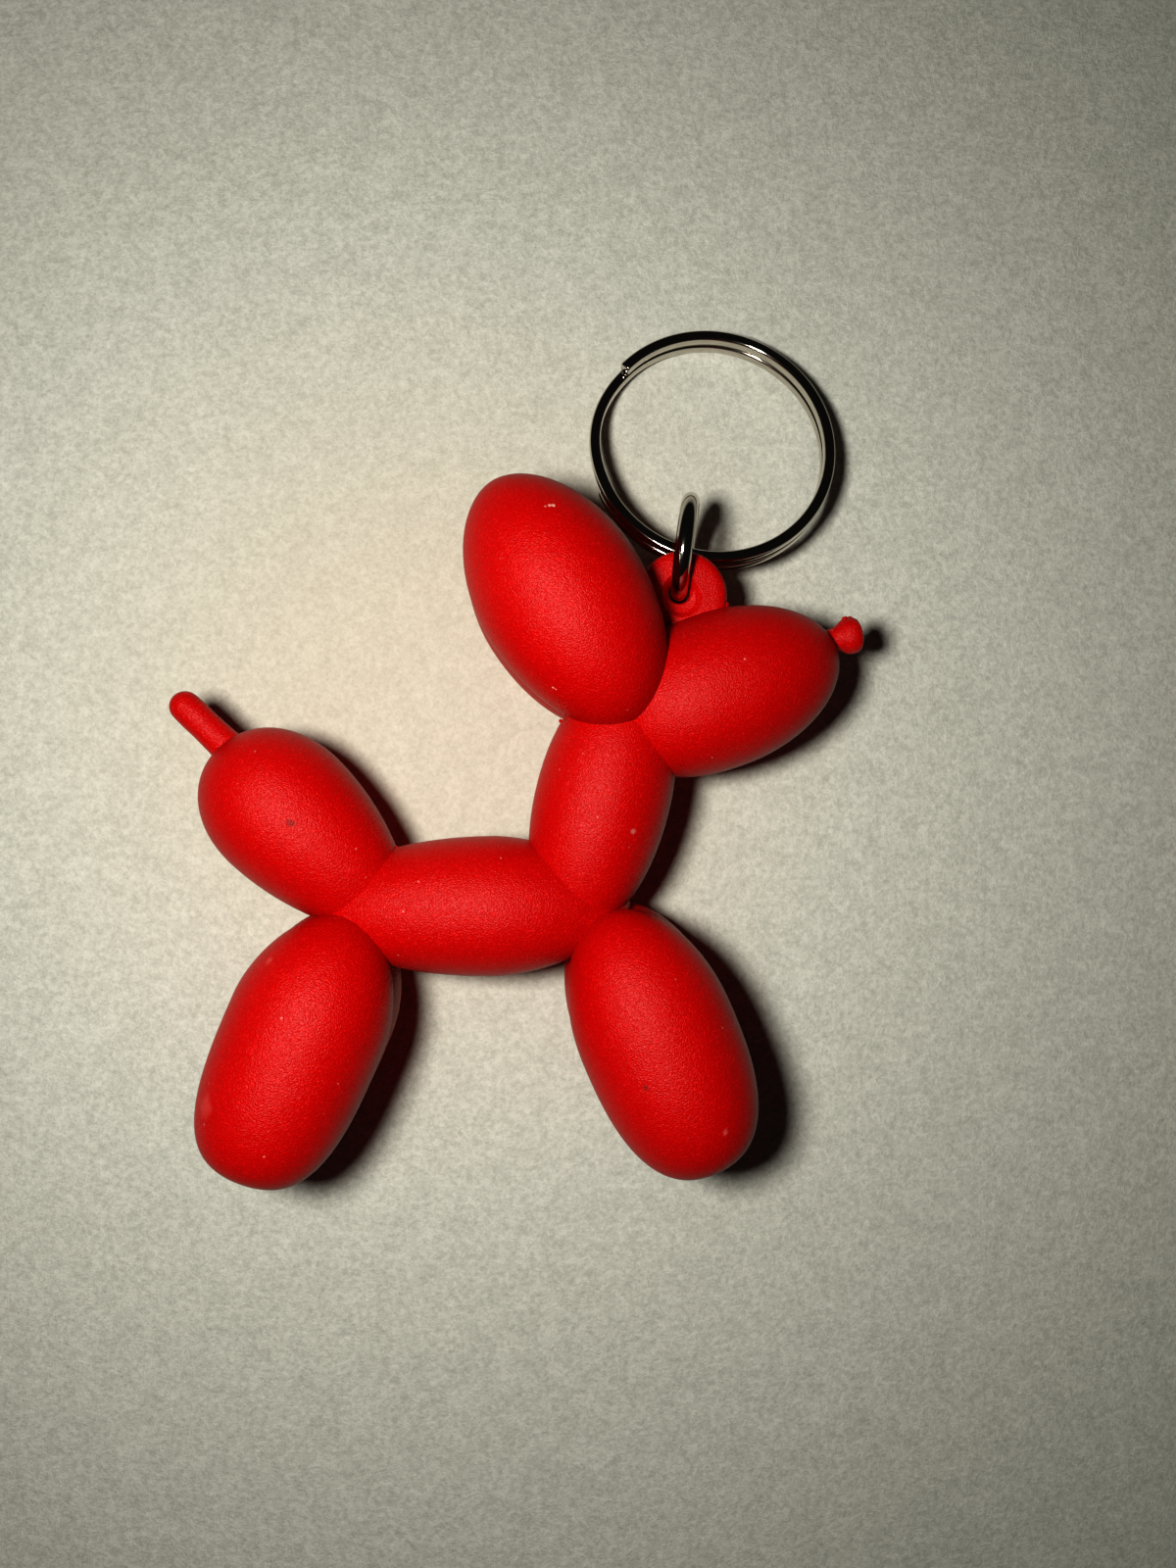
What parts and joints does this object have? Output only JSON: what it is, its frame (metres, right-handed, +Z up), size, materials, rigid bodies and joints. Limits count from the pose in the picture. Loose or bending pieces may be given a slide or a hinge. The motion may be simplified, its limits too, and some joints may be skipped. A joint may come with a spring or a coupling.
{
  "type": "balloon dog key fob",
  "caption": "Moulded balloon dog figure in soft red plastic with an eyelet between the ears, a jump ring and a split key ring, lying on its side.",
  "frame": {"origin": "on the floor, under the middle of the whole as it lies on its side", "axes": "+Z up from the floor, through the dog's flank; +X from the tail to the nose; +Y from the feet to the head and on to the key ring"},
  "size_m": [0.065, 0.0822, 0.0233],
  "materials": {
    "dog_plastic": "matt",
    "jump_nickel": "bright nickel plate",
    "split_nickel": "bright nickel plate"
  },
  "bodies": {
    "root": {"balloon_dog": "dog_plastic", "jump_ring": "jump_nickel", "split_ring": "split_nickel"}
  },
  "joints": []
}
